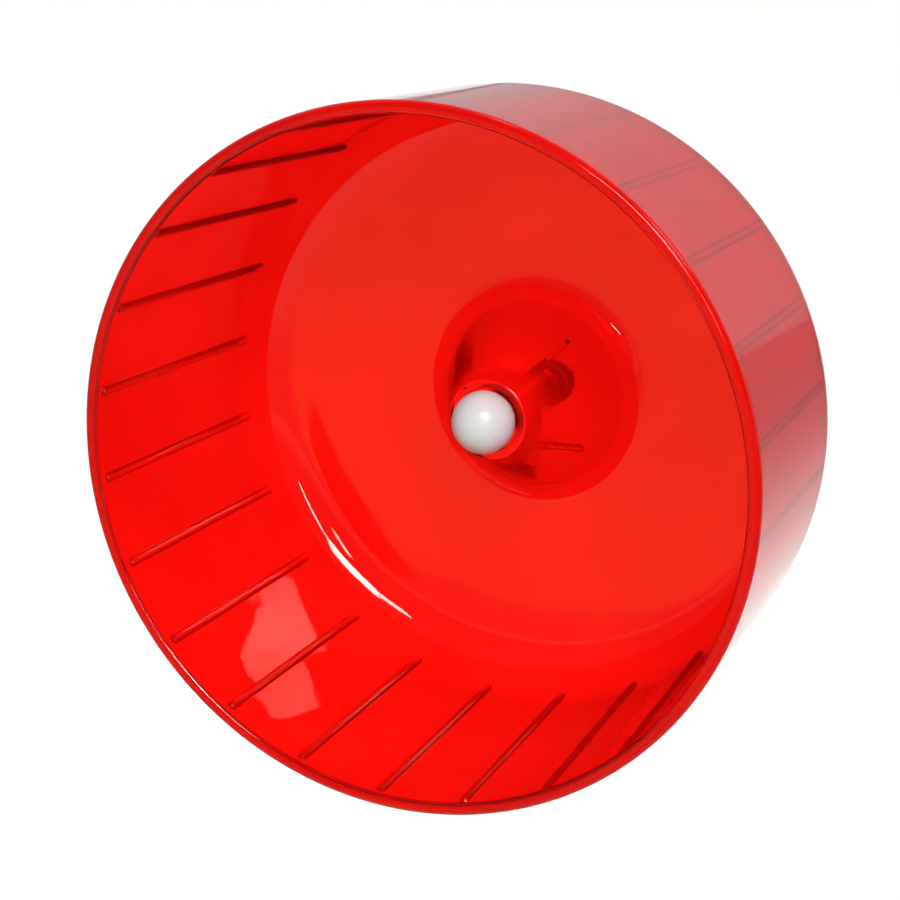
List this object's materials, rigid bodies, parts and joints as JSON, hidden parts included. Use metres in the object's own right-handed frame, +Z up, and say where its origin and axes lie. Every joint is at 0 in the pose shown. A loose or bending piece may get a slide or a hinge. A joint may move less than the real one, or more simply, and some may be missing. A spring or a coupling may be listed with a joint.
{
  "type": "hamster wheel",
  "caption": "Open-fronted drum wheel with tread ribs and a hub cone, spinning on a short steel axle that clamps to a cage wall.",
  "frame": {"origin": "on the axle, in the plane where the shoulder nut's flange meets the cage wall", "axes": "+Y along the axle towards the cage wall, so the open front faces -Y; +Z up"},
  "size_m": [0.14, 0.082, 0.14],
  "materials": {
    "red_plastic": "polished see-through red moulding",
    "white_plastic": "smooth white moulding",
    "nylon": "natural nylon",
    "steel": "bright zinc plating"
  },
  "bodies": {
    "axle_assembly": {"axle": "steel", "axle_cap": "white_plastic", "front_washer": "nylon", "rear_washer": "nylon", "shoulder_nut": "steel", "clamp_washer": "steel", "clamp_nut": "steel"},
    "wheel": {"wheel_drum": "red_plastic", "front_bush": "nylon", "rear_bush": "nylon"}
  },
  "joints": [
    {"name": "wheel_spin", "type": "hinge", "parent": "axle_assembly", "child": "wheel", "pos_m": [0, 0, 0], "axis": [0, 1, 0], "continuous": true}
  ]
}
